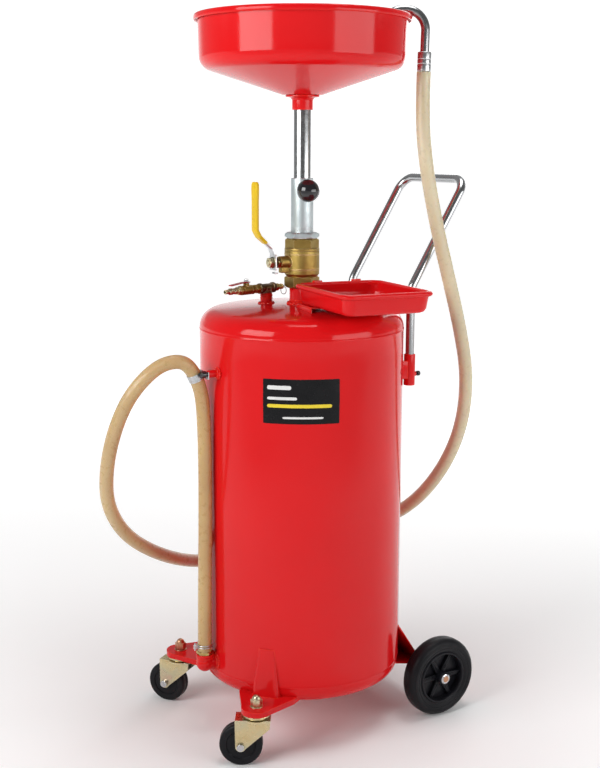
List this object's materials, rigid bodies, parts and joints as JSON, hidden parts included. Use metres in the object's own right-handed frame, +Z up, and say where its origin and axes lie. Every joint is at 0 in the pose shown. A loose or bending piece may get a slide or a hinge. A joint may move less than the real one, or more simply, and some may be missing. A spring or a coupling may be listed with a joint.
{
  "type": "oil drain pan",
  "caption": "Wheeled pressurised oil drain: funnel bowl on a telescopic mast over a tank, with tool tray, push handle, air line and discharge hose.",
  "frame": {"origin": "on the floor, under the middle of the object's box without its hose and nozzle", "axes": "+Z up; -Y the front with the swivel casters and the outlet, +Y the rear with the push handle and the large wheels"},
  "size_m": [0.522, 0.6809, 1.3048],
  "materials": {
    "red_paint": "glossy powder coat",
    "brass": "cast, slightly dull",
    "air_fittings": "dark plated",
    "galvanised": "zinc plated",
    "chrome": "bright chrome",
    "zinc_yellow": "yellow zinc",
    "black_plastic": "moulded",
    "tyre": "solid rubber",
    "yellow_vinyl": "dipped vinyl",
    "clear_hose": "translucent, stained",
    "label_black": "printed film",
    "seal": "smooth",
    "red_lever": "vinyl coated",
    "copper_steel": "coppery bare end"
  },
  "bodies": {
    "root": {"tank_shell": "red_paint", "tank_top_head": "red_paint", "tank_bottom_head": "red_paint", "filler_neck": "red_paint", "data_plate": "label_black", "valve_body": "brass", "valve_end": "brass", "valve_ball": "chrome", "valve_seats": "seal", "valve_packing_nut": "brass", "mast_bushing": "galvanised", "mast_outer_tube": "galvanised", "mast_guides": "seal", "air_tee": "air_fittings", "air_valve_body": "brass", "air_inlet_plug": "air_fittings", "safety_valve": "brass", "outlet_elbow": "red_paint", "outlet_barb": "brass", "hose_clamp": "galvanised", "hose_clip": "chrome", "drain_hose": "clear_hose", "caster_brackets": "red_paint", "caster_swivel_heads": "zinc_yellow", "caster_stem_nuts": "zinc_yellow", "axle_carrier": "red_paint", "rear_axle": "copper_steel", "axle_push_nuts": "galvanised", "handle_sockets": "red_paint", "tool_tray": "red_paint", "tray_bolts": "galvanised"},
    "mast": {"mast_inner_tube": "chrome", "bowl_hub": "red_paint", "drain_bowl": "red_paint", "bowl_locknut": "zinc_yellow", "bowl_strainer": "chrome", "nozzle_hook": "chrome", "nozzle_ferrule": "chrome"},
    "valve_handle": {"valve_lever": "galvanised", "valve_lever_grip": "yellow_vinyl", "valve_stem": "zinc_yellow"},
    "mast_lock": {"mast_lock_knob": "black_plastic"},
    "air_handle": {"air_valve_lever": "red_lever", "air_valve_stem": "zinc_yellow", "air_valve_ball": "chrome"},
    "relief_pin": {"safety_pull_pin": "galvanised"},
    "handle": {"push_handle": "chrome"},
    "clip_knob": {"hose_clip_knob": "black_plastic"},
    "caster_right": {"caster_fork_right": "zinc_yellow", "caster_axle_right": "zinc_yellow"},
    "caster_roll_right": {"caster_wheel_right": "tyre"},
    "rear_wheel_right": {"rear_tyre_right": "tyre", "rear_hub_right": "black_plastic"},
    "handle_clamp_right": {"handle_screw_right": "black_plastic"},
    "caster_left": {"caster_fork_left": "zinc_yellow", "caster_axle_left": "zinc_yellow"},
    "caster_roll_left": {"caster_wheel_left": "tyre"},
    "rear_wheel_left": {"rear_tyre_left": "tyre", "rear_hub_left": "black_plastic"},
    "handle_clamp_left": {"handle_screw_left": "black_plastic"}
  },
  "joints": [
    {"name": "mast_slide", "type": "slide", "parent": "root", "child": "mast", "axis": [0, 0, 1], "range_m": [-0.11, 0.385], "deforming": ["drain_hose"]},
    {"name": "valve_turn", "type": "hinge", "parent": "root", "child": "valve_handle", "pos_m": [-0.03407, -0.09186, 0.86], "axis": [0, 1, 0], "range_deg": [0, 90]},
    {"name": "mast_lock_turn", "type": "hinge", "parent": "root", "child": "mast_lock", "pos_m": [0.01037, -0.04716, 0.987], "axis": [0.9455, -0.3256, 0], "range_deg": [0, 360]},
    {"name": "air_valve_turn", "type": "hinge", "parent": "root", "child": "air_handle", "pos_m": [-0.06697, -0.12837, 0.824], "axis": [0, 0, 1], "range_deg": [0, 90]},
    {"name": "relief_pull", "type": "slide", "parent": "root", "child": "relief_pin", "axis": [-0.2419, 0.9703, 0], "range_m": [0, 0.002], "stiffness_N_per_m": 800},
    {"name": "caster_swivel_right", "type": "hinge", "parent": "root", "child": "caster_right", "pos_m": [0.11333, -0.21326, 0.085], "axis": [0, 0, 1], "continuous": true},
    {"name": "caster_spin_right", "type": "hinge", "parent": "caster_right", "child": "caster_roll_right", "pos_m": [0.09842, -0.23577, 0.038], "axis": [0.8336, -0.5524, 0], "continuous": true},
    {"name": "rear_spin_right", "type": "hinge", "parent": "root", "child": "rear_wheel_right", "pos_m": [0.11793, 0.18264, 0.075], "axis": [1, 0, 0], "continuous": true},
    {"name": "handle_screw_turn_right", "type": "hinge", "parent": "root", "child": "handle_clamp_right", "pos_m": [0.06093, 0.16014, 0.652], "axis": [0, 1, 0], "range_deg": [0, 360]},
    {"name": "caster_swivel_left", "type": "hinge", "parent": "root", "child": "caster_left", "pos_m": [-0.18147, -0.21326, 0.085], "axis": [0, 0, 1], "continuous": true},
    {"name": "caster_spin_left", "type": "hinge", "parent": "caster_left", "child": "caster_roll_left", "pos_m": [-0.20364, -0.22867, 0.038], "axis": [0.5708, -0.8211, 0], "continuous": true},
    {"name": "rear_spin_left", "type": "hinge", "parent": "root", "child": "rear_wheel_left", "pos_m": [-0.18607, 0.18264, 0.075], "axis": [1, 0, 0], "continuous": true},
    {"name": "handle_screw_turn_left", "type": "hinge", "parent": "root", "child": "handle_clamp_left", "pos_m": [-0.12907, 0.16014, 0.652], "axis": [0, 1, 0], "range_deg": [0, 360]},
    {"name": "handle_slide", "type": "slide", "parent": "root", "child": "handle", "axis": [0, 0, 1], "range_m": [0, 0.04]},
    {"name": "clip_knob_turn", "type": "hinge", "parent": "root", "child": "clip_knob", "pos_m": [-0.01407, -0.24386, 0.675], "axis": [0, 1, 0], "range_deg": [0, 360]}
  ]
}
